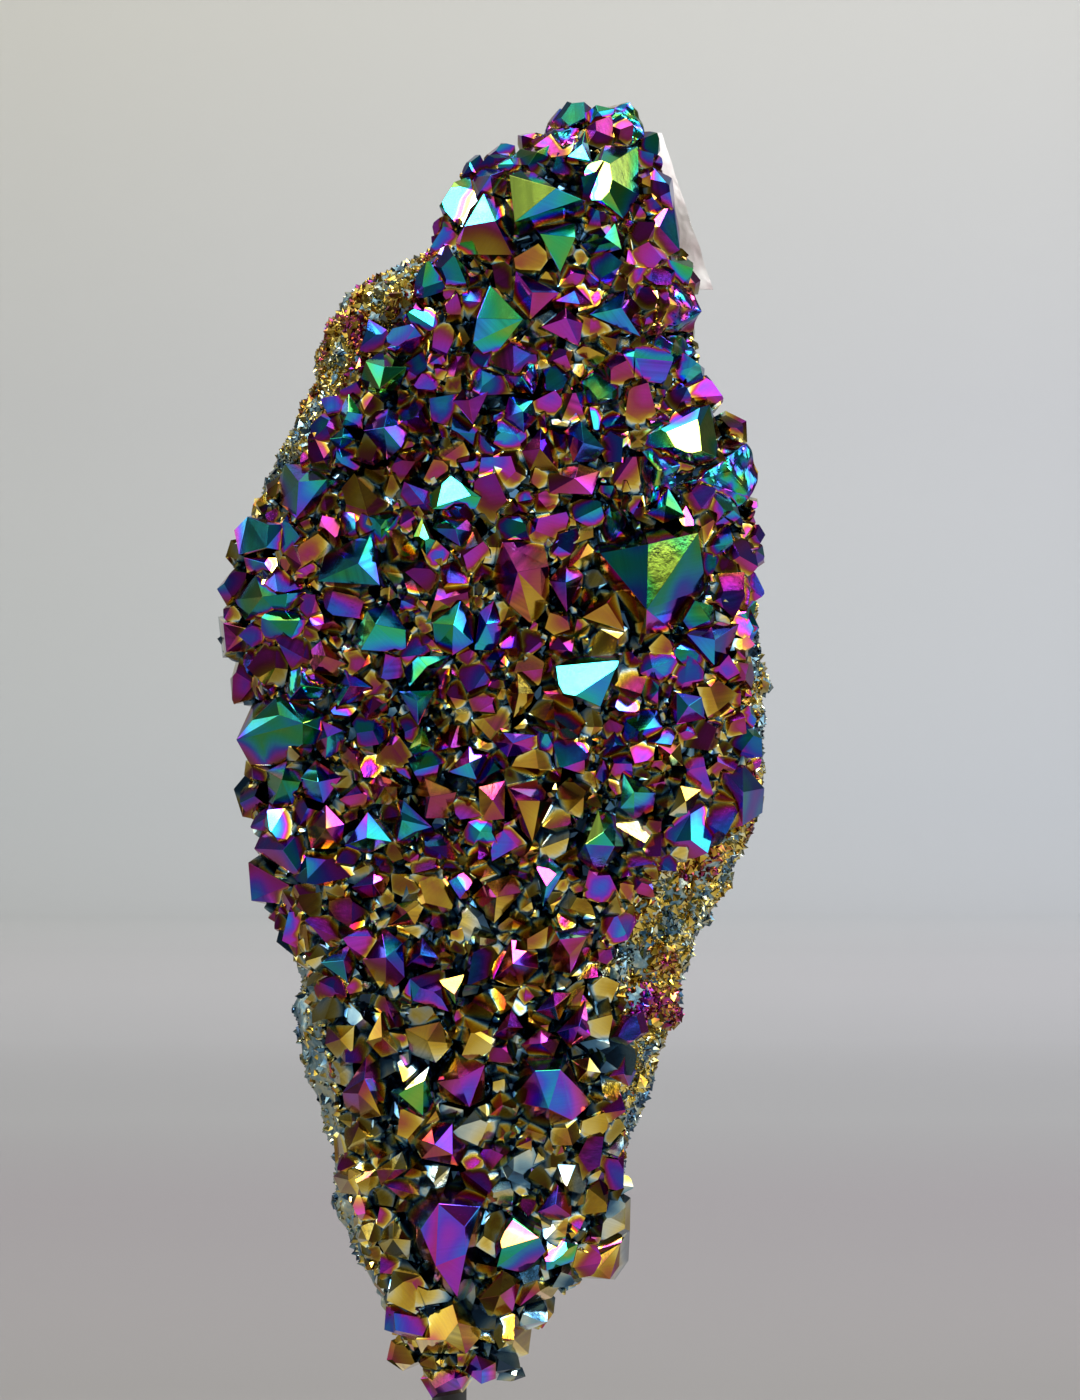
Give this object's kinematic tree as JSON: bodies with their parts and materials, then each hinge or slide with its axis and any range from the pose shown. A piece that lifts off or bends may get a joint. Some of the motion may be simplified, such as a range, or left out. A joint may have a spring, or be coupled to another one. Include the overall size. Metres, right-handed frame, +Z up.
{
  "type": "aura quartz cluster on a stand",
  "caption": "Metallic rainbow-coated quartz cluster grown over one face of its rock, pinned upright on a black post and foot plate.",
  "frame": {"origin": "centre of the foot plate's underside", "axes": "+Z up the post to the top of the cluster, -Y the way the crystals face, +X to the right as seen from the front"},
  "size_m": [0.112, 0.084, 0.3232],
  "materials": {
    "coated_quartz": "mirror-bright titanium film, changing from gold through magenta, violet, blue and teal to green over each face",
    "stand_steel": "matt black paint",
    "label_paper": "matt crumpled paper"
  },
  "bodies": {
    "root": {"crystal_cluster": "coated_quartz", "stand_post": "stand_steel", "stand_base": "stand_steel", "price_label": "label_paper"}
  },
  "joints": []
}
